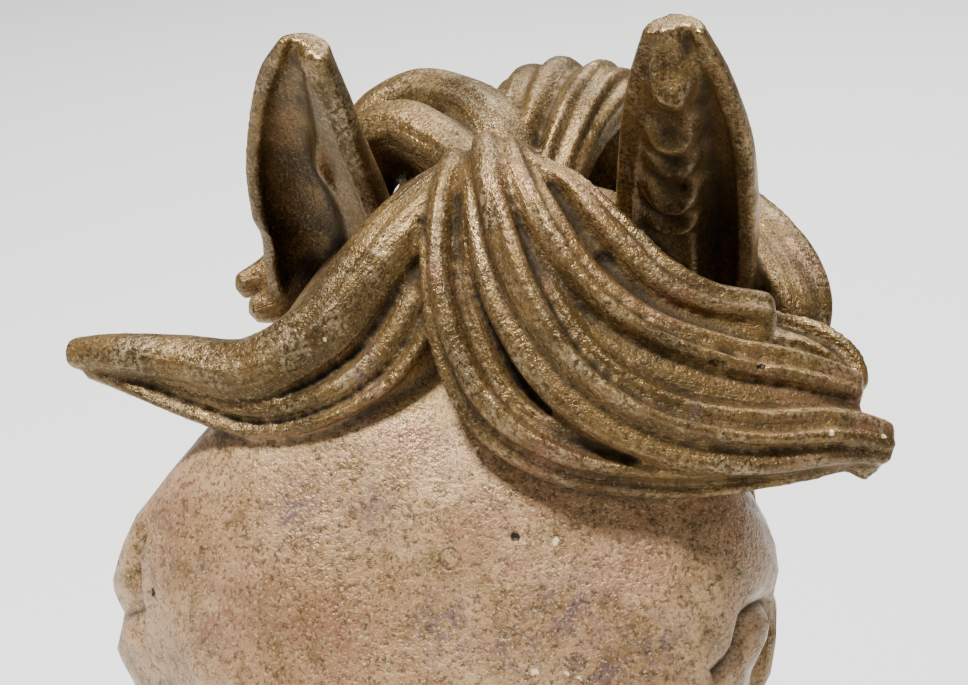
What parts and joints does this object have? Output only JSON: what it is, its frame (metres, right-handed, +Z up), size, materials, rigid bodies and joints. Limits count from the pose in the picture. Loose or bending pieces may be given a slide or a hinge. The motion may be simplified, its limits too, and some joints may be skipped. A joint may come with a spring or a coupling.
{
  "type": "horse head sculpture",
  "caption": "Bust of a horse's head and neck in cast iron, with a windswept forelock and a parted mane, cut flat below.",
  "frame": {"origin": "middle of the flat underside of the neck", "axes": "+Z up, the horse looks towards -Y, +X is to the right of a viewer who faces it"},
  "size_m": [0.2784, 0.6369, 0.63],
  "materials": {
    "patinated_iron": "sand-cast iron with an old brown rust patina under lacquer, dull silver where rubbed, ochre and black in the hollows"
  },
  "bodies": {
    "root": {"horse_head": "patinated_iron"}
  },
  "joints": []
}
